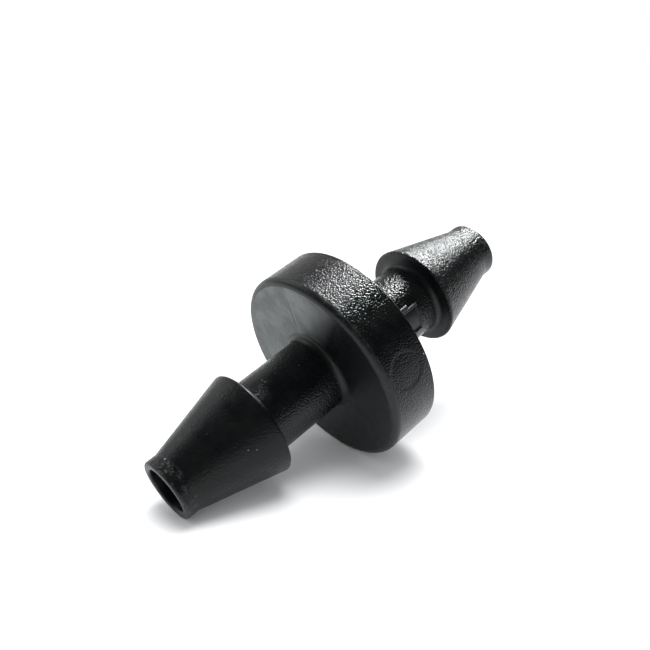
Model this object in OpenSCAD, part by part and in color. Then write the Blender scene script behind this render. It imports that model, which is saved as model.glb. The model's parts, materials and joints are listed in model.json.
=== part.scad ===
// Inline drip emitter for micro tube: two hollow barbs on one axis with a round drum between them.
// The inlet half is a cup, and the outlet half plugs into it and pulls out for cleaning.
// The axis is X, water flows towards +X, and the origin is the middle of the drum.

/* [Barb ends] */
// Water way through each barb
bore_d = 2.9; // [2.4:0.1:3]
// Stem between the drum and the barb
stem_d = 4.8; // [4.4:0.1:5]
// Length of the stem, from the drum's face to the barb's shoulder
stem_len = 5.4; // [4:0.1:8]
// Barb at its shoulder
barb_d = 6.8; // [6:0.1:7.4]
// Length of the barb's cone
barb_len = 5.6; // [4:0.1:7]
// Pilot collar that starts the tube
pilot_d = 3.9; // [3.8:0.1:4]
// Length of the pilot collar
pilot_len = 0.8; // [0.6:0.1:1.5]

/* [Drum] */
// Outer diameter of the drum
drum_d = 13; // [12.6:0.1:14]
// Thickness of the drum, face to face
drum_t = 3.4; // [3.4:0.1:4]
// Rounding of the inlet half's outer edge
edge_r = 0.4; // [0.2:0.05:0.5]
// Wall of the cup round its rim
cup_wall = 1.0; // [0.9:0.05:1.2]
// Floor of the cup, behind the inlet face
cup_floor = 0.8; // [0.6:0.05:0.9]
// Radial clearance between the cup and the plug
plug_gap = 0.04; // [0.02:0.01:0.08]

/* [Flow control] */
// Thickness of the labyrinth disc
disc_t = 0.75; // [0.7:0.05:0.9]
// Depth of the labyrinth channel
channel_depth = 0.4; // [0.3:0.05:0.5]
// Baffles along the channel
baffles = 26; // [16:2:30]
// Diameter of the diaphragm
diaphragm_d = 8.8; // [8:0.1:8.8]
// Thickness of the diaphragm
diaphragm_t = 0.5; // [0.4:0.05:0.5]

/* [Hidden] */
$fn = 96;

lip_r = 0.16;         // rounding of the mouth's lip
shoulder_r = 0.14;    // rounding of the barb's shoulder
root_r = 0.4;         // fillet where a stem meets the drum
neck_r = 0.4;         // fillet where the stem meets the shoulder
mouth_r = 0.06;       // rounding of the cup's open edge and of the plug's
lead_in = 0.12;       // chamfer inside the cup's open edge
snap_h = 0.1;         // depth of the snap groove in the cup
snap_w = 0.5;         // width of the snap groove
snap_x = 0.6;         // middle of the snap groove
skirt_t = 0.41;       // wall of the plug's skirt
skirt_depth = 2.0;    // reach of the skirt into the cup, from the outlet face
skirt_nose = 0.1;     // chamfer round the skirt's end
outlet_wall = 0.75;   // wall behind the labyrinth disc
disc_gap = 0.02;      // radial clearance round the labyrinth disc
rest_gap = 0.05;      // air between the diaphragm and the labyrinth disc at rest
float_gap = 0.25;     // air between the diaphragm and the stand-off ribs at rest
standoffs = 6;        // ribs that keep the diaphragm off the cup's floor
standoff_w = 0.4;     // width of a stand-off rib
standoff_in = 0.4;    // gap from the water way to a stand-off rib
standoff_out = 0.5;   // a stand-off rib ends this far inside the diaphragm's edge
nub_w = 0.7;          // width of a centring nub
nub_gap = 0.1;        // radial clearance between the centring nubs and their neighbours
nub_fall = 0.2;       // a centring nub ends this far short of the labyrinth disc
bed = 0.05;           // a rib or a nub starts this far inside the cup's floor
foot = 0.02;          // a barb starts this far inside the drum
far = 1;              // a cutter starts this far outside what it cuts

face_x = drum_t / 2;
bore_r = bore_d / 2;
stem_r = stem_d / 2;
barb_r = barb_d / 2;
pilot_r = pilot_d / 2;
drum_r = drum_d / 2;
cup_r = drum_r - cup_wall;
cup_floor_x = cup_floor - face_x;
plug_r = cup_r - plug_gap;
skirt_r = plug_r - skirt_t;
disc_r = skirt_r - disc_gap;
skirt_end_x = face_x - skirt_depth;
disc_back_x = face_x - outlet_wall;
disc_front_x = disc_back_x - disc_t;
diaphragm_r = diaphragm_d / 2;
diaphragm_x = disc_front_x - rest_gap - diaphragm_t;
rib_top_x = diaphragm_x - float_gap;
shoulder_s = stem_len;    // places along a barb are counted from the drum's face
pilot_s = shoulder_s + barb_len;
mouth_s = pilot_s + pilot_len;

channel_in_r = 2.3;   // inner wall of the labyrinth channel
channel_out_r = 4.5;  // outer wall of the labyrinth channel
channel_arc = 330;    // angle that the channel covers
baffle_reach = 0.64;  // part of the channel's width that a baffle spans
baffle_w = 0.3;       // thickness of a baffle at its root; its tip is half as thick
baffle_bed = 0.1;     // a baffle starts this far inside the wall that it stands on
notch_w = 0.7;        // width of the way into the channel, and of the way out of it
notch_turn = 3;       // turn of the way in from the channel's start
exit_turn = 8;        // turn of the way out, back from the channel's end
run_on = 0.4;         // the ways in and out run on this far past the walls that they cross
weir_r = 1.85;        // chamber round the regulating seat
seat_r = 1.0;         // outside of the seat
port_r = 0.55;        // hole through the middle of the seat
port_fall = 0.12;     // the seat stands this much below the disc's face
slot_w = 0.2;         // slot across the seat, which stays open when the diaphragm closes the port
slot_depth = 0.1;     // depth of the slot
corner_r = 0.12;      // rounding of the diaphragm's edge

panel_angle = 86;     // turn of the stem's panel round the axis, from +Z towards -Y
panel_start = 0.5;    // gap between the drum and the panel
panel_len = 3.15;     // length of the panel along the stem
panel_w = 1.6;        // width of the panel
panel_depth = 0.12;   // depth of the panel
rib_angles = [58, 63.4];  // turn of each fine rib beside the panel
rib_lens = [2.6, 3.35];   // length of each fine rib
rib_w = 0.16;         // width of a fine rib
rib_top = 0.08;       // a fine rib stands this much above the stem
rib_h = 0.5;          // full height of a fine rib, with what is sunk in the stem

gate_d = 2.5;         // round mark that the gate leaves on the rim
gate_angle = 79.4;    // turn of the gate mark round the axis, from +Z towards -Y
gate_cut = 0.04;      // depth of the gate mark

// Points of a round corner about [cx, cy], from angle a0 to a1
function round_corner(cx, cy, r, a0, a1, steps = 6) =
    [for (i = [0:steps]) let (a = a0 + (a1 - a0) * i / steps) [cx + r * cos(a), cy + r * sin(a)]];

// Turns a profile of [radius, place along the axis] into a solid round X
module turned(points) { rotate([0, 90, 0]) rotate_extrude() polygon(points); }

// Outline of a hollow barb with its foot at s = 0, as [radius, s]
barb_profile = concat(
    [[bore_r, -foot], [stem_r + root_r, -foot]],
    round_corner(stem_r + root_r, root_r, root_r, 270, 180),
    round_corner(stem_r + neck_r, shoulder_s - neck_r, neck_r, 180, 90),
    round_corner(barb_r - shoulder_r, shoulder_s + shoulder_r, shoulder_r, -90, 15),
    [[pilot_r, pilot_s], [pilot_r, mouth_s - lip_r]],
    round_corner(pilot_r - lip_r, mouth_s - lip_r, lip_r, 0, 90),
    round_corner(bore_r + lip_r, mouth_s - lip_r, lip_r, 90, 180)
);

// A barb that stands on the outlet face and points along +X
module barb() { translate([face_x, 0, 0]) turned(barb_profile); }

// Box on the cup's floor, pointing away from the axis between two radii
module floor_box(width, height, from_r, to_r) {
    translate([cup_floor_x - bed, -width / 2, from_r]) cube([height + bed, width, to_r - from_r]);
}

// Rib that leaves a way for water under the diaphragm
module standoff_rib() {
    floor_box(standoff_w, rib_top_x - cup_floor_x, bore_r + standoff_in, diaphragm_r - standoff_out);
}

// Nub that keeps the diaphragm central; water passes between the nubs
module centring_nub() {
    floor_box(nub_w, disc_front_x - nub_fall - cup_floor_x, diaphragm_r + nub_gap, skirt_r - nub_gap);
}

// Shallow round mark that the gate leaves on the rim, as deep all over as the rim curves
module gate_mark() {
    difference() {
        rotate([gate_angle, 0, 0]) cylinder(d = gate_d, h = drum_r + far);
        rotate([0, 90, 0]) cylinder(r = drum_r - gate_cut, h = 2 * drum_t, center = true);
    }
}

module inlet_body() color([0.07, 0.07, 0.08]) {
    cup_profile = concat(
        [[bore_r, -face_x]],
        round_corner(drum_r - edge_r, edge_r - face_x, edge_r, -90, 0),
        round_corner(drum_r - mouth_r, face_x - mouth_r, mouth_r, 0, 90, 3),
        [[cup_r + lead_in, face_x], [cup_r, face_x - lead_in],
         [cup_r, snap_x + snap_w / 2 + snap_h], [cup_r + snap_h, snap_x + snap_w / 2],
         [cup_r + snap_h, snap_x - snap_w / 2], [cup_r, snap_x - snap_w / 2 - snap_h],
         [cup_r, cup_floor_x], [bore_r, cup_floor_x]]
    );
    difference() {
        turned(cup_profile);
        gate_mark();
    }
    mirror([1, 0, 0]) barb();
    for (i = [0:standoffs - 1]) rotate([i * 360 / standoffs, 0, 0]) {
        standoff_rib();
        rotate([180 / standoffs, 0, 0]) centring_nub();
    }
}

// Shallow panel with two fine ribs, moulded into the outlet stem to tell the ends apart
module stem_panel_cut() {
    difference() {
        rotate([panel_angle, 0, 0]) translate([face_x + panel_start, -panel_w / 2, 0])
            cube([panel_len, panel_w, stem_r + far]);
        rotate([0, 90, 0]) cylinder(r = stem_r - panel_depth, h = face_x + stem_len);
    }
}

module stem_panel_ribs() {
    for (i = [0:1])
        rotate([rib_angles[i], 0, 0])
            translate([face_x + panel_start, -rib_w / 2, stem_r + rib_top - rib_h])
                cube([rib_lens[i], rib_w, rib_h]);
}

module outlet_body() color([0.07, 0.07, 0.08]) {
    bead_h = plug_gap / 2;
    plug_profile = concat(
        [[bore_r, disc_back_x], [skirt_r, disc_back_x], [skirt_r, skirt_end_x + skirt_nose],
         [skirt_r + skirt_nose, skirt_end_x], [plug_r - skirt_nose, skirt_end_x],
         [plug_r, skirt_end_x + skirt_nose],
         [plug_r, snap_x - snap_w / 2], [plug_r + bead_h, snap_x - snap_w / 4],
         [plug_r + bead_h, snap_x + snap_w / 4], [plug_r, snap_x + snap_w / 2]],
        round_corner(plug_r - mouth_r, face_x - mouth_r, mouth_r, 0, 90, 3),
        [[bore_r, face_x]]
    );
    turned(plug_profile);
    difference() {
        barb();
        stem_panel_cut();
    }
    stem_panel_ribs();
}

// One baffle of the labyrinth; odd ones stand on the inner wall, even ones on the outer wall
module baffle(index) {
    channel_w = channel_out_r - channel_in_r;
    wall = index % 2 == 1 ? channel_in_r : channel_out_r;
    inward = index % 2 == 1 ? 1 : -1;
    root = wall - inward * baffle_bed;
    tip = wall + inward * baffle_reach * channel_w;
    rotate(index * channel_arc / (baffles + 1))
        polygon([[root, -baffle_w / 2], [tip, -baffle_w / 4], [tip, baffle_w / 4], [root, baffle_w / 2]]);
}

// Pie slice from the +X direction, counter-clockwise
module sector(angle) {
    reach = 2 * channel_out_r;
    polygon(concat([[0, 0]], [for (i = [0:8]) let (a = angle * i / 8) [reach * cos(a), reach * sin(a)]]));
}

// The water's path seen along the axis: the way in, the baffled ring, and the way out to the seat
module channel_plan() {
    difference() {
        intersection() {
            difference() {
                circle(channel_out_r);
                circle(channel_in_r);
            }
            sector(channel_arc);
        }
        for (i = [1:baffles]) baffle(i);
    }
    rotate(notch_turn) translate([channel_out_r - run_on, 0])
        square([disc_r - channel_out_r + 2 * run_on, notch_w]);
    rotate(channel_arc - exit_turn) translate([weir_r - run_on, 0])
        square([channel_in_r - weir_r + 2 * run_on, notch_w]);
}

module labyrinth_disc() color([0.45, 0.47, 0.5])
    translate([disc_front_x, 0, 0]) rotate([0, 90, 0]) difference() {
        cylinder(r = disc_r, h = disc_t);
        translate([0, 0, -far]) {
            linear_extrude(far + channel_depth) channel_plan();
            difference() {
                cylinder(r = weir_r, h = far + channel_depth);
                translate([0, 0, far + port_fall]) cylinder(r = seat_r, h = far);
            }
            cylinder(r = port_r, h = disc_t + 2 * far);
            translate([0, -slot_w / 2, 0]) cube([seat_r + slot_w, slot_w, far + port_fall + slot_depth]);
        }
    }

module diaphragm() color([0.85, 0.83, 0.78])
    turned(concat(
        [[0, diaphragm_x]],
        round_corner(diaphragm_r - corner_r, diaphragm_x + corner_r, corner_r, -90, 0, 3),
        round_corner(diaphragm_r - corner_r, diaphragm_x + diaphragm_t - corner_r, corner_r, 0, 90, 3),
        [[0, diaphragm_x + diaphragm_t]]
    ));

inlet_body();
outlet_body();
labyrinth_disc();
diaphragm();
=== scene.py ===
"""Looks of the inline drip emitter: two black mouldings, the parts inside them, a studio and a camera."""

import json
import math

import bmesh
import bpy
from mathutils import Matrix, Vector, noise


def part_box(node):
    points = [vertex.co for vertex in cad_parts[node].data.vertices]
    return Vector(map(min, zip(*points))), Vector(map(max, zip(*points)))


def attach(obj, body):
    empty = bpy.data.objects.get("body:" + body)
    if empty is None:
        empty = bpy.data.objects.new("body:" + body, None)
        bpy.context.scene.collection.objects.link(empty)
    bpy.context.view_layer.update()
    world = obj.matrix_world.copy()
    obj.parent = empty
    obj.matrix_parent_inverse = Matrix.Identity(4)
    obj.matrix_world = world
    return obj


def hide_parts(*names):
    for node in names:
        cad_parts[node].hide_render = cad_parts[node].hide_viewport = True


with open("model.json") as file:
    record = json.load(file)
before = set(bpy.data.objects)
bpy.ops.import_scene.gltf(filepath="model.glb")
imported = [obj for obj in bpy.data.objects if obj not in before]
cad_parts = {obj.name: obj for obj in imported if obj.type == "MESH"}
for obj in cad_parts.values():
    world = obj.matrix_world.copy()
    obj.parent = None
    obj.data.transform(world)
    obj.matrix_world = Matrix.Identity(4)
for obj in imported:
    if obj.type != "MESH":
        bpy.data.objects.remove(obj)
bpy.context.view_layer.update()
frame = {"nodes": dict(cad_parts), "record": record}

MM = 0.001

# Sizes read from the frame.
inlet_low, inlet_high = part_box("inlet_body")
outlet_low, outlet_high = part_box("outlet_body")
disc_low, disc_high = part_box("labyrinth_disc")
diaphragm_low, diaphragm_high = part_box("diaphragm")
dims = {mount["name"]: mount["dims"] for mount in frame["record"]["mounts"]}
DRUM_R = -inlet_low.z
FACE_X = inlet_high.x
MOUTH_X = outlet_high.x
BORE_R = dims["outlet_port"]["r_mm"] * MM
PILOT_R = dims["outlet_pilot"]["r_mm"] * MM
PLUG_END_X = outlet_low.x
WALL_X = disc_high.x
DIAPHRAGM_R = diaphragm_high.y

# The rest of the mouldings' sizes, as the CAD draws them.
STEM_R = 2.4 * MM
STEM_LEN = 5.4 * MM
BARB_R = 3.4 * MM
BARB_LEN = 5.6 * MM
LIP_R = 0.16 * MM
SHOULDER_R = 0.14 * MM
SHOULDER_END = 75                        # degrees, where the shoulder's rounding meets the cone
ROOT_R = 0.4 * MM
NECK_R = 0.4 * MM
EDGE_R = 0.4 * MM
RIM_LIP_R = 0.06 * MM
LEAD_IN = 0.12 * MM
NOSE = 0.1 * MM                          # chamfers round the end of the plug's skirt
CUP_WALL = 1.0 * MM
CUP_FLOOR = 0.8 * MM
CUP_R = DRUM_R - CUP_WALL
CUP_FLOOR_X = FACE_X - CUP_FLOOR         # measured towards the inlet
PLUG_GAP = 0.04 * MM
SKIRT_WALL = 0.41 * MM
PLUG_R = CUP_R - PLUG_GAP
SKIRT_R = PLUG_R - SKIRT_WALL
SNAP_X = 0.6 * MM
SNAP_W = 0.5 * MM
SNAP_H = 0.1 * MM
BEAD_H = 0.02 * MM
BEAD_TOP_W = SNAP_W / 2
SHOULDER_X = FACE_X + STEM_LEN
PILOT_X = SHOULDER_X + BARB_LEN

# Stand-off ribs and centring nubs on the floor of the cup.
STANDOFFS = 6
STANDOFF_BED = 0.05 * MM                 # they start this far inside the floor
STANDOFF_SOFT = 0.05 * MM
STANDOFF_SOFT_STEPS = 3
STANDOFF_HALF_W = 0.2 * MM
STANDOFF_FALL = 0.25 * MM                # the ribs end this far short of the diaphragm
STANDOFF_FROM_BORE = 0.4 * MM
STANDOFF_FROM_EDGE = 0.5 * MM
NUB_HALF_W = 0.35 * MM
NUB_FALL = 0.2 * MM                      # the nubs end this far short of the flow disc
NUB_GAP = 0.1 * MM

# Grain of the spark-eroded mould in each zone: height and spacing.
GRAIN = {
    "rim": (0.0025 * MM, 0.17 * MM),
    "stem": (0.003 * MM, 0.16 * MM),
    "cone": (0.004 * MM, 0.14 * MM),
    "face": (0.003 * MM, 0.3 * MM),
}
FINER = 2.1                              # the grain's second layer is this much finer
FINER_SHARE = 0.5

# Marks. Angles round the axis run from +Y towards +Z.
WELD_ANGLE = math.radians(79)
WELD_CURVE = math.radians(2.2) / MM
WELD_START = 2.9 * MM
WELD_END = 5.6 * MM
WELD_FADE = 1.0 * MM
WELD_DEPTH = 0.035 * MM
WELD_W = 0.08 * MM
GATE_ANGLE = math.radians(169.4)
GATE_R = 1.25 * MM
GATE_CUT = 0.04 * MM
GATE_EDGE = 0.18 * MM
PANEL_ANGLE = math.radians(176)
PANEL_X = FACE_X + 0.5 * MM
PANEL_LEN = 3.15 * MM
PANEL_W = 1.6 * MM
PANEL_DEPTH = 0.12 * MM
RIBS = [(math.radians(148), 2.6 * MM), (math.radians(153.4), 3.35 * MM)]
RIB_W = 0.06 * MM
RIB_TOP = 0.08 * MM
RIB_FLANK = 0.1 * MM

# How finely the turned pieces are divided: along the profile, and round the axis.
FILLET_STEPS = 7
SHOULDER_STEPS = 5
LIP_STEPS = 4
SMALL_STEPS = 3
NEAR_STEP = 0.25 * MM
FAR_STEM_STEP = 0.055 * MM
FAR_CONE_STEP = 0.14 * MM
SHOULDER_STEP = 0.2 * MM
RIM_STEP = 0.07 * MM
FAR_FACE_STEP = 0.2 * MM
EDGE_STEP = 0.3 * MM
CUP_STEP = 0.4 * MM
PLUG_STEP = 0.6 * MM
BORE_STEP = 1.2 * MM
PLAIN_STEP = 1.0 * MM
INLET_SEGMENTS = 576
OUTLET_SEGMENTS = 480
DIAPHRAGM_SEGMENTS = 160

# The diaphragm's rounding, and the pinhole at its middle, whose points are merged to close it.
CORNER_R = 0.12 * MM
DIAPHRAGM_STEP = 0.3 * MM
HUB_R = 0.002 * MM
HUB_CLOSE = 3 * HUB_R

# How the flow disc's CAD mesh is cleaned up, and the moulded radii on its edges.
DISC_MERGE = 0.002 * MM
DISC_FLAT = math.radians(1)
DISC_EDGE_R = 0.025 * MM
DISC_EDGE_STEPS = 2
DISC_SHARP = math.radians(40)            # edges that turn by more than this are rounded

# Material slots of the mouldings, in the order of body_materials.
SPARK_GRAIN, SATIN, INNER, SMOOTH_CONE, SMOOTH_STEM, CLOUDY_FACE_PAINTED_SHEEN, SPARKLING_CONE, SPARKLING_STEM = range(8)
INLET_SLOTS = {
    "rim": SPARK_GRAIN,
    "edge": SATIN, "shoulder": SATIN, "lip": SATIN, "fillet": SATIN,
    "bore": INNER, "cup": INNER,
    "cone": SMOOTH_CONE, "collar": SMOOTH_CONE,
    "stem": SMOOTH_STEM,
    "face": CLOUDY_FACE_PAINTED_SHEEN,
}
OUTLET_SLOTS = {**INLET_SLOTS, "cone": SPARKLING_CONE, "collar": SPARKLING_CONE, "stem": SPARKLING_STEM}

# How scuffed each zone is.
WORN = {"lip": 1.3, "collar": 0.8, "edge": 0.3, "shoulder": 0.2}


def clamp(value):
    """The value, kept between 0 and 1."""
    return min(1, max(0, value))


def add_object(name, data):
    """Puts a mesh, a lamp or a camera into the scene."""
    holder = bpy.data.objects.new(name, data)
    bpy.context.scene.collection.objects.link(holder)
    return holder


# ---------------------------------------------------------------- profiles

def line(start, end, step, zone):
    """Profile points from start towards end, no further apart than step, without the end itself."""
    count = max(1, math.ceil(math.dist(start, end) / step))
    return [(start[0] + (end[0] - start[0]) * i / count, start[1] + (end[1] - start[1]) * i / count, zone)
            for i in range(count)]


def path(corners, step, zone):
    """Profile points along straight lines from corner to corner, without the last corner."""
    return [point for start, end in zip(corners, corners[1:]) for point in line(start, end, step, zone)]


def bend(centre, radius, first, last, steps, zone):
    """Profile points round a corner, without the last. 0 degrees points along the axis, 90 away from it."""
    angles = [math.radians(first + (last - first) * i / steps) for i in range(steps)]
    return [(centre[0] + radius * math.cos(a), centre[1] + radius * math.sin(a), zone) for a in angles]


def barb_profile(bore_end, stem_step, cone_step):
    """A hollow barb from its root at the drum to its mouth, and back down the bore to bore_end."""
    shoulder = (SHOULDER_X + SHOULDER_R, BARB_R - SHOULDER_R)
    tip = math.radians(SHOULDER_END)
    shoulder_top = (SHOULDER_X + SHOULDER_R * (1 + math.cos(tip)), BARB_R - SHOULDER_R * (1 - math.sin(tip)))
    lip_x = MOUTH_X - LIP_R
    return (
        bend((FACE_X + ROOT_R, STEM_R + ROOT_R), ROOT_R, 180, 270, FILLET_STEPS, "fillet")
        + line((FACE_X + ROOT_R, STEM_R), (SHOULDER_X - NECK_R, STEM_R), stem_step, "stem")
        + bend((SHOULDER_X - NECK_R, STEM_R + NECK_R), NECK_R, 270, 360, FILLET_STEPS, "fillet")
        + line((SHOULDER_X, STEM_R + NECK_R), (SHOULDER_X, BARB_R - SHOULDER_R), SHOULDER_STEP, "shoulder")
        + bend(shoulder, SHOULDER_R, 180, SHOULDER_END, SHOULDER_STEPS, "cone")
        + line(shoulder_top, (PILOT_X, PILOT_R), cone_step, "cone")
        + line((PILOT_X, PILOT_R), (lip_x, PILOT_R), cone_step, "collar")
        + bend((lip_x, PILOT_R - LIP_R), LIP_R, 90, 0, LIP_STEPS, "lip")
        + bend((lip_x, BORE_R + LIP_R), LIP_R, 0, -90, LIP_STEPS, "lip")
        + line((lip_x, BORE_R), (bore_end, BORE_R), BORE_STEP, "bore")
    )


def inlet_profile():
    """The inlet half, drawn with its barb towards +X; it is turned round when it is built."""
    rim_end = RIM_LIP_R - FACE_X
    lead_x = LEAD_IN - FACE_X
    groove_high, groove_low = SNAP_W / 2 - SNAP_X, -SNAP_W / 2 - SNAP_X
    groove = [(groove_high + SNAP_H, CUP_R), (groove_high, CUP_R + SNAP_H),
              (groove_low, CUP_R + SNAP_H), (groove_low - SNAP_H, CUP_R)]
    return (
        barb_profile(CUP_FLOOR_X, NEAR_STEP, NEAR_STEP)
        + line((CUP_FLOOR_X, BORE_R), (CUP_FLOOR_X, CUP_R), PLAIN_STEP, "cup")
        + line((CUP_FLOOR_X, CUP_R), groove[0], CUP_STEP, "cup")
        + path(groove, PLAIN_STEP, "cup")
        + line(groove[-1], (lead_x, CUP_R), CUP_STEP, "cup")
        + line((lead_x, CUP_R), (-FACE_X, CUP_R + LEAD_IN), PLAIN_STEP, "cup")
        + line((-FACE_X, CUP_R + LEAD_IN), (-FACE_X, DRUM_R - RIM_LIP_R), EDGE_STEP, "edge")
        + bend((rim_end, DRUM_R - RIM_LIP_R), RIM_LIP_R, 180, 90, SMALL_STEPS, "edge")
        + line((rim_end, DRUM_R), (FACE_X - EDGE_R, DRUM_R), RIM_STEP, "rim")
        + bend((FACE_X - EDGE_R, DRUM_R - EDGE_R), EDGE_R, 90, 0, FILLET_STEPS, "edge")
        + line((FACE_X, DRUM_R - EDGE_R), (FACE_X, STEM_R + ROOT_R), NEAR_STEP, "face")
    )


def outlet_profile():
    """The outlet half: a plug with a thin skirt and a snap bead, and its barb towards +X."""
    nose_x = PLUG_END_X + NOSE
    rim_x = FACE_X - RIM_LIP_R
    nose = [(nose_x, SKIRT_R), (PLUG_END_X, SKIRT_R + NOSE), (PLUG_END_X, PLUG_R - NOSE), (nose_x, PLUG_R)]
    bead = [(SNAP_X - SNAP_W / 2, PLUG_R), (SNAP_X - BEAD_TOP_W / 2, PLUG_R + BEAD_H),
            (SNAP_X + BEAD_TOP_W / 2, PLUG_R + BEAD_H), (SNAP_X + SNAP_W / 2, PLUG_R)]
    return (
        barb_profile(WALL_X, FAR_STEM_STEP, FAR_CONE_STEP)
        + line((WALL_X, BORE_R), (WALL_X, SKIRT_R), PLAIN_STEP, "cup")
        + line((WALL_X, SKIRT_R), nose[0], PLUG_STEP, "cup")
        + path(nose, PLAIN_STEP, "cup")
        + line(nose[-1], bead[0], PLUG_STEP, "cup")
        + path(bead, PLAIN_STEP, "cup")
        + line(bead[-1], (rim_x, PLUG_R), PLUG_STEP, "cup")
        + bend((rim_x, PLUG_R - RIM_LIP_R), RIM_LIP_R, 90, 0, SMALL_STEPS, "edge")
        + line((FACE_X, PLUG_R - RIM_LIP_R), (FACE_X, STEM_R + ROOT_R), FAR_FACE_STEP, "face")
    )


def diaphragm_profile():
    """A flat disc with round edges, and a pinhole that close_hub closes."""
    low, high, radius = diaphragm_low.x, diaphragm_high.x, DIAPHRAGM_R
    flat_r = radius - CORNER_R
    return (
        line((low, HUB_R), (low, flat_r), DIAPHRAGM_STEP, "silicone")
        + bend((low + CORNER_R, flat_r), CORNER_R, 180, 90, LIP_STEPS, "silicone")
        + bend((high - CORNER_R, flat_r), CORNER_R, 90, 0, LIP_STEPS, "silicone")
        + line((high, flat_r), (high, HUB_R), DIAPHRAGM_STEP, "silicone")
    )


# ---------------------------------------------------------------- turned meshes

def turned_mesh(name, profile, segments, towards=1, relief=None, slot_at=None):
    """Turns a closed profile round X.

    towards is 1 to draw the profile along +X, or -1 to turn it round. relief(x, r, angle, zone) gives each
    point's new place along and off the axis, and slot_at(x, angle, zone) gives each face's material slot.
    """
    rings = len(profile)
    points = []
    for x, r, zone in profile:
        for s in range(segments):
            angle = 2 * math.pi * s / segments
            new_x, new_r = relief(towards * x, r, angle, zone) if relief else (towards * x, r)
            points.append((new_x, new_r * math.cos(angle), new_r * math.sin(angle)))
    faces, slots = [], []
    for i in range(rings):
        low, high = i * segments, (i + 1) % rings * segments
        x, _, zone = profile[i]
        for s in range(segments):
            t = (s + 1) % segments
            corners = (low + s, low + t, high + t, high + s)
            faces.append(corners if towards > 0 else corners[::-1])
            slots.append(slot_at(x, 2 * math.pi * (s + 0.5) / segments, zone) if slot_at else 0)
    mesh = bpy.data.meshes.new(name)
    mesh.from_pydata(points, [], faces)
    mesh.polygons.foreach_set("material_index", slots)
    mesh.polygons.foreach_set("use_smooth", [True] * len(faces))
    wear = mesh.attributes.new("edge_wear", "FLOAT", "POINT")
    wear.data.foreach_set("value", [WORN.get(zone, 0.0) for _, _, zone in profile for _ in range(segments)])
    mesh.update()
    return add_object(name, mesh)


def inlet_slot(x, angle, zone):
    """Material slot of a place on the inlet half."""
    return INLET_SLOTS[zone]


def outlet_slot(x, angle, zone):
    """Material slot of a place on the outlet half, whose panel and ribs are satin."""
    if zone == "stem" and (on_panel(x, angle) or rib_height(x, angle) > 0):
        return SATIN
    return OUTLET_SLOTS[zone]


def grain_at(x, r, angle, zone):
    """Height of the mould's grain at a point of the surface."""
    if zone not in GRAIN:
        return 0.0
    height, spacing = GRAIN[zone]
    at = Vector((x, r * math.cos(angle), r * math.sin(angle))) / spacing
    return height * (noise.noise(at) + FINER_SHARE * noise.noise(at * FINER))


def angle_between(angle, middle):
    """Signed angle from middle to angle."""
    return (angle - middle + math.pi) % (2 * math.pi) - math.pi


def weld_groove(r, angle):
    """Depth of the weld line on the inlet's face, which fades out at both ends."""
    off_line = r * angle_between(angle, WELD_ANGLE + WELD_CURVE * (r - WELD_START))
    fade = clamp((r - WELD_START) / WELD_FADE) * clamp((WELD_END - r) / WELD_FADE)
    return WELD_DEPTH * fade * math.exp(-(off_line / WELD_W) ** 2)


def inside_gate(x, angle):
    """How far inside the round gate mark a place on the rim is."""
    return GATE_R - math.hypot(x, DRUM_R * angle_between(angle, GATE_ANGLE))


def inlet_relief(x, r, angle, zone):
    """Grain, the weld line on the face, and the smooth round gate mark on the rim."""
    height = grain_at(x, r, angle, zone)
    if zone == "face":
        return x + weld_groove(r, angle) - height, r
    if zone == "rim":
        inside = inside_gate(x, angle)
        height = height * (inside < 0) - GATE_CUT * clamp(inside / GATE_EDGE)
    return x, r + height


def on_panel(x, angle):
    """Whether a place on the outlet stem is on its panel."""
    turn = angle_between(angle, PANEL_ANGLE)
    in_front = abs(turn) < math.pi / 2
    return PANEL_X < x < PANEL_X + PANEL_LEN and in_front and abs(STEM_R * math.sin(turn)) < PANEL_W / 2


def rib_height(x, angle):
    """Height of the two fine ribs above the outlet stem."""
    height = 0.0
    for rib_angle, rib_len in RIBS:
        if PANEL_X < x < PANEL_X + rib_len:
            off_rib = STEM_R * abs(angle_between(angle, rib_angle))
            height += RIB_TOP * clamp((RIB_W / 2 + RIB_FLANK - off_rib) / RIB_FLANK)
    return height


def outlet_relief(x, r, angle, zone):
    """Grain, and the shallow panel with two fine ribs on the stem."""
    height = grain_at(x, r, angle, zone)
    if zone == "face":
        return x + height, r
    if zone == "stem":
        if on_panel(x, angle):
            height = -PANEL_DEPTH
        height += rib_height(x, angle)
    return x, r + height


# ---------------------------------------------------------------- nodes

def new_material(name):
    """An empty node material with its Principled shader."""
    material = bpy.data.materials.new(name)
    material.use_nodes = True
    return material, material.node_tree, material.node_tree.nodes["Principled BSDF"]


def object_place(tree):
    """The place on the object that a material's patterns are laid out in, in metres."""
    return tree.nodes.new("ShaderNodeTexCoord").outputs["Object"]


def noise_node(tree, coordinates, spacing, detail=2.0, roughness=0.5):
    """Noise whose features are about spacing across, in metres."""
    node = tree.nodes.new("ShaderNodeTexNoise")
    node.inputs["Scale"].default_value = 1 / spacing
    node.inputs["Detail"].default_value = detail
    node.inputs["Roughness"].default_value = roughness
    tree.links.new(coordinates, node.inputs["Vector"])
    return node.outputs["Fac"]


def cells(tree, coordinates, spacing):
    """Distance to the nearest of a field of points that lie about spacing apart."""
    node = tree.nodes.new("ShaderNodeTexVoronoi")
    node.inputs["Scale"].default_value = 1 / spacing
    tree.links.new(coordinates, node.inputs["Vector"])
    return node.outputs["Distance"]


def remap(tree, value, low, high, to_low, to_high):
    """Maps the range low to high onto to_low to to_high, clamped."""
    node = tree.nodes.new("ShaderNodeMapRange")
    for socket, number in (("From Min", low), ("From Max", high), ("To Min", to_low), ("To Max", to_high)):
        node.inputs[socket].default_value = number
    tree.links.new(value, node.inputs["Value"])
    return node.outputs["Result"]


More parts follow.
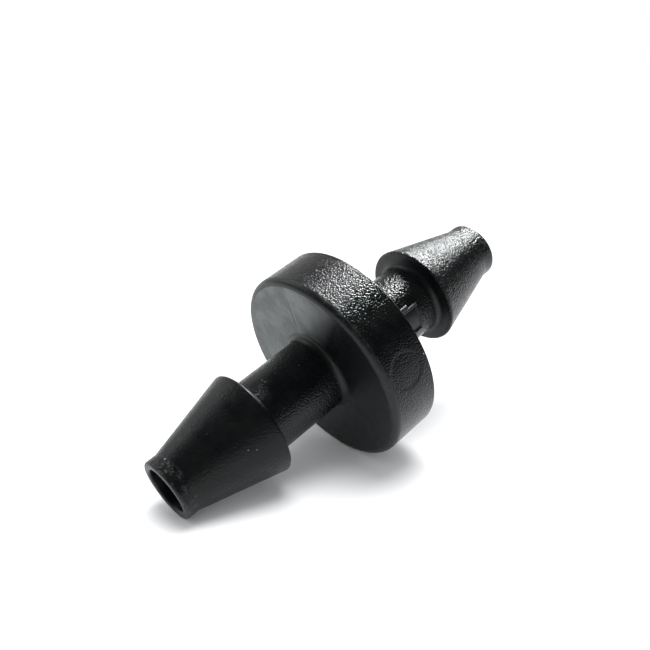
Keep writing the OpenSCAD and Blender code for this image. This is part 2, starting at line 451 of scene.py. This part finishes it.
def math_node(tree, operation, first, second):
    """A Math node of two sockets or numbers."""
    node = tree.nodes.new("ShaderNodeMath")
    node.operation = operation
    for entry, value in zip(node.inputs, (first, second)):
        if isinstance(value, (int, float)):
            entry.default_value = value
        else:
            tree.links.new(value, entry)
    return node.outputs[0]


def pebbles(tree, coordinates, spacing):
    """Height of closely packed shallow domes about spacing across."""
    squared = math_node(tree, "POWER", cells(tree, coordinates, spacing), 2.0)
    return math_node(tree, "MULTIPLY", squared, -1.0)


def mix_colour(tree, factor, first, second):
    """Mixes two colours or colour sockets."""
    node = tree.nodes.new("ShaderNodeMix")
    node.data_type = "RGBA"
    tree.links.new(factor, node.inputs["Factor"])
    for socket, colour in (("A", first), ("B", second)):
        entry = [i for i in node.inputs if i.name == socket and i.type == "RGBA"][0]
        if isinstance(colour, tuple):
            entry.default_value = colour
        else:
            tree.links.new(colour, entry)
    return [o for o in node.outputs if o.type == "RGBA"][0]


def bump(tree, height, distance, below=None):
    """A bump of the given height in metres, on top of another bump if below is given."""
    node = tree.nodes.new("ShaderNodeBump")
    node.inputs["Distance"].default_value = distance
    node.inputs["Strength"].default_value = 1.0
    tree.links.new(height, node.inputs["Height"])
    if below is not None:
        tree.links.new(below, node.inputs["Normal"])
    return node.outputs["Normal"]


# ---------------------------------------------------------------- materials

BLACK = (0.0018, 0.002, 0.0028, 1)
SCUFF_COLOUR = (0.04, 0.042, 0.041, 1)
DUST_COLOUR = (0.5, 0.5, 0.48, 1)
GREYS = ((0.27, 0.29, 0.31, 1), (0.36, 0.38, 0.4, 1))
MILKS = ((0.6, 0.58, 0.53, 1), (0.7, 0.68, 0.63, 1))
GLOSS_TINT = (0.89, 0.97, 0.96, 1)
NOISE_RANGE = (0.3, 0.7)                 # where nearly all of a noise lies

# Haze on the black plastic. On the face it is also a painted sheen: the face is painted lighter towards one
# side, where it would mirror the bright floor.
PLAIN_HAZE = 0.004
FACE_HAZE_AND_PAINTED_SHEEN = 0.125
HAZE_AND_PAINTED_SHEEN_TINT = (0.9, 1.0, 0.97)
PAINTED_SHEEN_SIDE = (0, 0.8, 0.6)                # the face's painted sheen grows this way from the axis: painted light on the side that would mirror the floor
PAINTED_SHEEN_REACH = 2.6 * MM
CLOUD_SIZE = 1.3 * MM
CLOUD_RANGE = (0.38, 0.6)
LEAST_CLOUD = 0.55                       # share of the face's haze and painted sheen between its clouds

# Scuffs, gloss and fine grain of the black plastic.
STREAK_SIZE = 0.5 * MM
STREAKY = (0.44, 0.6)
SCRATCH_SIZE = 0.16 * MM
SCRATCH_RANGE = (0.44, 0.66)
SCRATCH_STRENGTH = 1.2
GLOSS_DRIFT = (-0.05, 0.06)
SCUFF_DULLNESS = 0.12
FINE_SPACING = 0.5                       # the fine grain's spacing and height, as shares of the pebbles'
FINE_HEIGHT = 0.25

# Dust.
SPECK_SPACING = 1.1 * MM
SPECK_RANGE = (0.02, 0.045)
SPECK_COVER = 0.7
DUSTY_SIZE = 1.7 * MM
DUSTY_RANGE = (0.55, 0.6)

# The two materials inside the drum.
SOFT_BUMP = 0.004 * MM
SILICONE_GLOW = 0.4
SILICONE_DEPTH = (0.4 * MM, 0.35 * MM, 0.3 * MM)


def haze_and_painted_sheen(tree, at, painted_sheen_one_side):
    """How hazy the plastic is: in clouds all over, or on the face a painted sheen in clouds, strongest on
    one side of the axis, where the face would mirror the bright floor.
    """
    cloud = noise_node(tree, at, CLOUD_SIZE, detail=4, roughness=0.6)
    if not painted_sheen_one_side:
        return remap(tree, cloud, *CLOUD_RANGE, 0, 1)
    # Painted sheen: the face's colour grows lighter towards one side of the axis, standing in for the
    # floor's reflection.
    across = tree.nodes.new("ShaderNodeVectorMath")
    across.operation = "DOT_PRODUCT"
    across.inputs[1].default_value = PAINTED_SHEEN_SIDE
    tree.links.new(at, across.inputs[0])
    side = remap(tree, across.outputs["Value"], 0, PAINTED_SHEEN_REACH, 0, 1)
    return math_node(tree, "MULTIPLY", remap(tree, cloud, *CLOUD_RANGE, LEAST_CLOUD, 1), side)


def scuff_amount(tree, at, streaks):
    """Fine scratches in patches, where the mesh says that the surface is worn."""
    wear = tree.nodes.new("ShaderNodeAttribute")
    wear.attribute_name = "edge_wear"
    scratches = noise_node(tree, at, SCRATCH_SIZE, detail=4, roughness=0.7)
    scratches = remap(tree, scratches, *SCRATCH_RANGE, 0, SCRATCH_STRENGTH)
    scratches = math_node(tree, "MULTIPLY", scratches, remap(tree, streaks, *STREAKY, 0, 1))
    return math_node(tree, "MULTIPLY", wear.outputs["Fac"], scratches)


def dust_amount(tree, at):
    """A few specks, in some areas only."""
    specks = remap(tree, cells(tree, at, SPECK_SPACING), *SPECK_RANGE, SPECK_COVER, 0)
    areas = remap(tree, noise_node(tree, at, DUSTY_SIZE, detail=1), *DUSTY_RANGE, 0, 1)
    return math_node(tree, "MULTIPLY", specks, areas)


def black_plastic(name, grain, grain_height, roughness, specular, with_painted_sheen=False, dusty=True):
    """Black moulded plastic: spark grain, cloudy gloss, scuffed edges and a few specks of dust; on the face,
    a painted sheen on one side.
    """
    material, tree, shader = new_material(name)
    at = object_place(tree)
    streaks = noise_node(tree, at, STREAK_SIZE, detail=4, roughness=0.6)
    scuffs = scuff_amount(tree, at, streaks)
    haze_and_sheen_level = FACE_HAZE_AND_PAINTED_SHEEN if with_painted_sheen else PLAIN_HAZE
    haze_and_sheen_colour = (*(haze_and_sheen_level * share for share in HAZE_AND_PAINTED_SHEEN_TINT), 1)
    # The haze colour, or on the face a painted sheen: painted light mixed into the base colour.
    base = mix_colour(tree, haze_and_painted_sheen(tree, at, with_painted_sheen), BLACK, haze_and_sheen_colour)
    base = mix_colour(tree, scuffs, base, SCUFF_COLOUR)
    if dusty:
        base = mix_colour(tree, dust_amount(tree, at), base, DUST_COLOUR)
    tree.links.new(base, shader.inputs["Base Color"])
    gloss = remap(tree, streaks, *NOISE_RANGE, *(roughness + drift for drift in GLOSS_DRIFT))
    duller = math_node(tree, "MULTIPLY", scuffs, SCUFF_DULLNESS)
    tree.links.new(math_node(tree, "ADD", gloss, duller), shader.inputs["Roughness"])
    shader.inputs["Specular IOR Level"].default_value = specular
    shader.inputs["Specular Tint"].default_value = GLOSS_TINT
    coarse = bump(tree, pebbles(tree, at, grain), grain_height)
    fine = bump(tree, noise_node(tree, at, grain * FINE_SPACING), grain_height * FINE_HEIGHT, coarse)
    tree.links.new(fine, shader.inputs["Normal"])
    return material


def clouded_material(name, cloud_size, colours, roughness_range, grain):
    """A material whose colour and gloss drift between two values, with a fine grain."""
    material, tree, shader = new_material(name)
    at = object_place(tree)
    cloud = noise_node(tree, at, cloud_size, detail=3)
    tree.links.new(mix_colour(tree, cloud, *colours), shader.inputs["Base Color"])
    tree.links.new(remap(tree, cloud, *NOISE_RANGE, *roughness_range), shader.inputs["Roughness"])
    tree.links.new(bump(tree, noise_node(tree, at, grain, detail=3), SOFT_BUMP), shader.inputs["Normal"])
    return material, shader


def grey_disc_material():
    """Fine satin grey moulding of the flow disc."""
    material, _ = clouded_material(
        "grey_disc_moulding",
        cloud_size=1.8 * MM,
        colours=GREYS,
        roughness_range=(0.38, 0.5),
        grain=0.12 * MM,
    )
    return material


def silicone_material():
    """Soft milky silicone of the diaphragm."""
    material, shader = clouded_material(
        "milky_silicone",
        cloud_size=1.5 * MM,
        colours=MILKS,
        roughness_range=(0.42, 0.6),
        grain=0.2 * MM,
    )
    shader.inputs["Subsurface Weight"].default_value = SILICONE_GLOW
    shader.inputs["Subsurface Radius"].default_value = SILICONE_DEPTH
    shader.inputs["Subsurface Scale"].default_value = 1.0
    return material


# Each is given its pebbles' size and height, its roughness and its specular level.
inner = black_plastic("black_inner", 0.3 * MM, 0.003 * MM, 0.36, 0.3, dusty=False)
body_materials = (
    black_plastic("black_spark_grain", 0.11 * MM, 0.026 * MM, 0.2, 0.19),
    black_plastic("black_satin", 0.14 * MM, 0.004 * MM, 0.4, 0.32),
    inner,
    black_plastic("black_smooth_cone", 0.12 * MM, 0.016 * MM, 0.31, 0.2),
    black_plastic("black_smooth_stem", 0.12 * MM, 0.022 * MM, 0.21, 0.25),
    # The near face: haze in clouds, and a painted sheen that makes one side lighter.
    black_plastic("black_cloudy_face_painted_sheen", 0.14 * MM, 0.004 * MM, 0.42, 0.25, with_painted_sheen=True),
    black_plastic("black_sparkling_cone", 0.125 * MM, 0.038 * MM, 0.26, 0.29),
    black_plastic("black_sparkling_stem", 0.13 * MM, 0.036 * MM, 0.2, 0.2),
)


# ---------------------------------------------------------------- pieces

def block(bm, low, high, turn):
    """Adds a box between two corners, turned round X."""
    middle = (Vector(low) + Vector(high)) / 2
    size = Vector(high) - Vector(low)
    place = Matrix.Rotation(turn, 4, "X") @ Matrix.Translation(middle) @ Matrix.Diagonal((*size, 1))
    bmesh.ops.create_cube(bm, size=1, matrix=place)


def finish_mesh(bm, name):
    """Turns a bmesh into a smooth shaded object."""
    bmesh.ops.recalc_face_normals(bm, faces=bm.faces[:])
    mesh = bpy.data.meshes.new(name)
    bm.to_mesh(mesh)
    bm.free()
    mesh.polygons.foreach_set("use_smooth", [True] * len(mesh.polygons))
    return add_object(name, mesh)


def cup_ribs():
    """Stand-off ribs and centring nubs on the floor of the inlet cup, with softened edges."""
    start_x = -CUP_FLOOR_X - STANDOFF_BED
    rib_end_x, nub_end_x = diaphragm_low.x - STANDOFF_FALL, disc_low.x - NUB_FALL
    rib_in, rib_out = BORE_R + STANDOFF_FROM_BORE, DIAPHRAGM_R - STANDOFF_FROM_EDGE
    nub_in, nub_out = DIAPHRAGM_R + NUB_GAP, SKIRT_R - NUB_GAP
    pitch = 2 * math.pi / STANDOFFS
    bm = bmesh.new()
    for i in range(STANDOFFS):
        turn = i * pitch
        block(bm, (start_x, -STANDOFF_HALF_W, rib_in), (rib_end_x, STANDOFF_HALF_W, rib_out), turn)
        block(bm, (start_x, -NUB_HALF_W, nub_in), (nub_end_x, NUB_HALF_W, nub_out), turn + pitch / 2)
    bmesh.ops.bevel(bm, geom=bm.edges[:], offset=STANDOFF_SOFT, segments=STANDOFF_SOFT_STEPS, affect="EDGES")
    return finish_mesh(bm, "cup_ribs")


def softened_disc():
    """The flow disc's own shape, with small moulded radii on its edges."""
    bm = bmesh.new()
    bm.from_mesh(frame["nodes"]["labyrinth_disc"].data)
    bmesh.ops.remove_doubles(bm, verts=bm.verts[:], dist=DISC_MERGE)
    bmesh.ops.dissolve_limit(bm, angle_limit=DISC_FLAT, verts=bm.verts[:], edges=bm.edges[:])
    piece = finish_mesh(bm, "flow_disc")
    bevel = piece.modifiers.new("moulded_radii", "BEVEL")
    bevel.width = DISC_EDGE_R
    bevel.segments = DISC_EDGE_STEPS
    bevel.limit_method = "ANGLE"
    bevel.angle_limit = DISC_SHARP
    bevel.harden_normals = True
    return piece


def close_hub(piece):
    """Closes the pinhole at the middle of a turned piece by merging its points."""
    bm = bmesh.new()
    bm.from_mesh(piece.data)
    bmesh.ops.remove_doubles(bm, verts=bm.verts[:], dist=HUB_CLOSE)
    bm.to_mesh(piece.data)
    bm.free()


def dress(piece, body, slot, materials, *replaced):
    """Gives a piece its materials and its body, and hides the CAD nodes that it stands for; slot is not
    used.
    """
    for material in materials:
        piece.data.materials.append(material)
    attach(piece, body)
    if replaced:
        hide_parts(*replaced)


inlet_shell = turned_mesh(
    "inlet_moulding", inlet_profile(), INLET_SEGMENTS, towards=-1, relief=inlet_relief, slot_at=inlet_slot)
dress(inlet_shell, "inlet", "black_body", body_materials, "inlet_body")
ribs = cup_ribs()
dress(ribs, "inlet", "black_body", (inner,))
outlet_shell = turned_mesh(
    "outlet_moulding", outlet_profile(), OUTLET_SEGMENTS, relief=outlet_relief, slot_at=outlet_slot)
dress(outlet_shell, "outlet", "black_body", body_materials, "outlet_body")
flow_disc = softened_disc()
dress(flow_disc, "outlet", "grey_disc", (grey_disc_material(),), "labyrinth_disc")
membrane = turned_mesh("silicone_diaphragm", diaphragm_profile(), DIAPHRAGM_SEGMENTS)
close_hub(membrane)
dress(membrane, "diaphragm", "silicone", (silicone_material(),), "diaphragm")


# ---------------------------------------------------------------- studio

FLOOR_R = 2.0
FLOOR_SEGMENTS = 96
FLOOR_COLOUR = (0.86, 0.86, 0.87, 1)
FLOOR_ROUGHNESS = 0.7
FLOOR_SPECULAR = 0.2
SUN_FROM = (0.38, -0.06, 0.93)
SUN_WIDTH = math.radians(38)
SUN_STRENGTH = 2.85
# Lamps that only show in reflections: direction from the origin, distance, width, depth and watts.
SOFTBOXES = {
    "back_softbox": ((0.773, 0.2, 0.602), 0.25, 0.08, 0.08, 2.6),
    "horizon_card": ((0.42, 0.85, 0.2), 0.6, 1.4, 0.7, 2.4),
    "left_card": ((-0.2, 0.69, 0.7), 0.6, 0.33, 0.33, 0.7),
}
# Colour and strength of the world: as it lights the scene, as the emitter mirrors it, as the camera sees it.
FILL_LIGHT = ((0.97, 0.98, 1.0, 1), 0.95)
DIM_STUDIO = ((0.9, 0.95, 1.0, 1), 0.03)
WHITE = ((1, 1, 1, 1), 1.0)
CAMERA_AT = Vector((-22.08, -34.39, 28.04)) * MM
CAMERA_AIM = Vector((0.715, 1.331, 1.499)) * MM
CAMERA_LENS = 43.6
CAMERA_SENSOR = 36
CAMERA_NEAR = 1 * MM
CAMERA_FAR = 10


def floor_tilt():
    """Slope of a floor that touches the drum's edge and the inlet's lip, as the emitter lies."""
    run = MOUTH_X - LIP_R - (FACE_X - EDGE_R)
    drop = (DRUM_R - EDGE_R) - (PILOT_R - LIP_R)
    return math.atan2(drop, run) + math.asin((EDGE_R - LIP_R) / math.hypot(run, drop))


tilt = floor_tilt()
floor_up = Vector((math.sin(tilt), 0, math.cos(tilt)))
floor_height = floor_up.dot(Vector((EDGE_R - FACE_X, 0, EDGE_R - DRUM_R))) - EDGE_R


def floor_material():
    """Matt white from above, and clear from below."""
    material, tree, shader = new_material("white_floor")
    shader.inputs["Base Color"].default_value = FLOOR_COLOUR
    shader.inputs["Roughness"].default_value = FLOOR_ROUGHNESS
    shader.inputs["Specular IOR Level"].default_value = FLOOR_SPECULAR
    clear = tree.nodes.new("ShaderNodeBsdfTransparent")
    side = tree.nodes.new("ShaderNodeNewGeometry")
    mix = tree.nodes.new("ShaderNodeMixShader")
    tree.links.new(side.outputs["Backfacing"], mix.inputs["Fac"])
    tree.links.new(shader.outputs["BSDF"], mix.inputs[1])
    tree.links.new(clear.outputs["BSDF"], mix.inputs[2])
    tree.links.new(mix.outputs["Shader"], tree.nodes["Material Output"].inputs["Surface"])
    return material


def make_floor():
    """A plain white floor under the emitter, seen only from above."""
    bm = bmesh.new()
    bmesh.ops.create_circle(bm, cap_ends=True, radius=FLOOR_R, segments=FLOOR_SEGMENTS)
    place = Matrix.Translation(floor_up * floor_height) @ Matrix.Rotation(tilt, 4, "Y")
    bmesh.ops.transform(bm, matrix=place, verts=bm.verts[:])
    mesh = bpy.data.meshes.new("floor")
    bm.to_mesh(mesh)
    bm.free()
    floor = add_object("floor", mesh)
    mesh.materials.append(floor_material())


def overhead_sun():
    """A wide soft light from above that whitens the floor and drops the emitter's shadow just beneath it."""
    lamp = bpy.data.lights.new("overhead_light", "SUN")
    lamp.angle = SUN_WIDTH
    lamp.energy = SUN_STRENGTH
    holder = add_object("overhead_light", lamp)
    holder.rotation_euler = Vector(SUN_FROM).to_track_quat("Z", "Y").to_euler()
    holder.visible_glossy = False


def softbox(name, direction, distance, width, depth, watts):
    """A rectangular lamp that the emitter mirrors from a direction, and that leaves the floor alone."""
    lamp = bpy.data.lights.new(name, "AREA")
    lamp.shape = "RECTANGLE"
    lamp.size, lamp.size_y = width, depth
    lamp.energy = watts
    holder = add_object(name, lamp)
    away = Vector(direction).normalized()
    holder.location = away * distance
    holder.rotation_euler = away.to_track_quat("Z", "Y").to_euler()
    holder.visible_diffuse = False
    holder.visible_camera = False


def background(tree, colour, strength):
    """One of the world's plain backgrounds."""
    node = tree.nodes.new("ShaderNodeBackground")
    node.inputs["Color"].default_value = colour
    node.inputs["Strength"].default_value = strength
    return node.outputs["Background"]


def choose(tree, factor, otherwise, chosen):
    """The chosen shader where factor is 1, and otherwise the other one."""
    mix = tree.nodes.new("ShaderNodeMixShader")
    tree.links.new(factor, mix.inputs["Fac"])
    tree.links.new(otherwise, mix.inputs[1])
    tree.links.new(chosen, mix.inputs[2])
    return mix.outputs["Shader"]


def make_world():
    """White behind the floor for the camera; the emitter itself mirrors a dim studio."""
    world = bpy.data.worlds.new("studio")
    world.use_nodes = True
    bpy.context.scene.world = world
    tree = world.node_tree
    path_kind = tree.nodes.new("ShaderNodeLightPath")
    fill = background(tree, *FILL_LIGHT)
    dim = background(tree, *DIM_STUDIO)
    white = background(tree, *WHITE)
    studio = choose(tree, path_kind.outputs["Is Glossy Ray"], fill, dim)
    seen = choose(tree, path_kind.outputs["Is Camera Ray"], studio, white)
    tree.links.new(seen, tree.nodes["World Output"].inputs["Surface"])


def make_camera():
    """The camera stands level over the tilted floor and looks at the drum from the inlet's side."""
    camera = bpy.data.cameras.new("camera")
    camera.sensor_width = CAMERA_SENSOR
    camera.lens = CAMERA_LENS
    camera.clip_start = CAMERA_NEAR
    camera.clip_end = CAMERA_FAR
    holder = add_object("camera", camera)
    back = (CAMERA_AT - CAMERA_AIM).normalized()
    right = floor_up.cross(back).normalized()
    up = back.cross(right)
    holder.matrix_world = Matrix.Translation(CAMERA_AT) @ Matrix((right, up, back)).transposed().to_4x4()
    bpy.context.scene.camera = holder


make_floor()
make_world()
make_camera()
overhead_sun()
for box_name, box_values in SOFTBOXES.items():
    softbox(box_name, *box_values)
bpy.context.scene.view_settings.view_transform = "Standard"
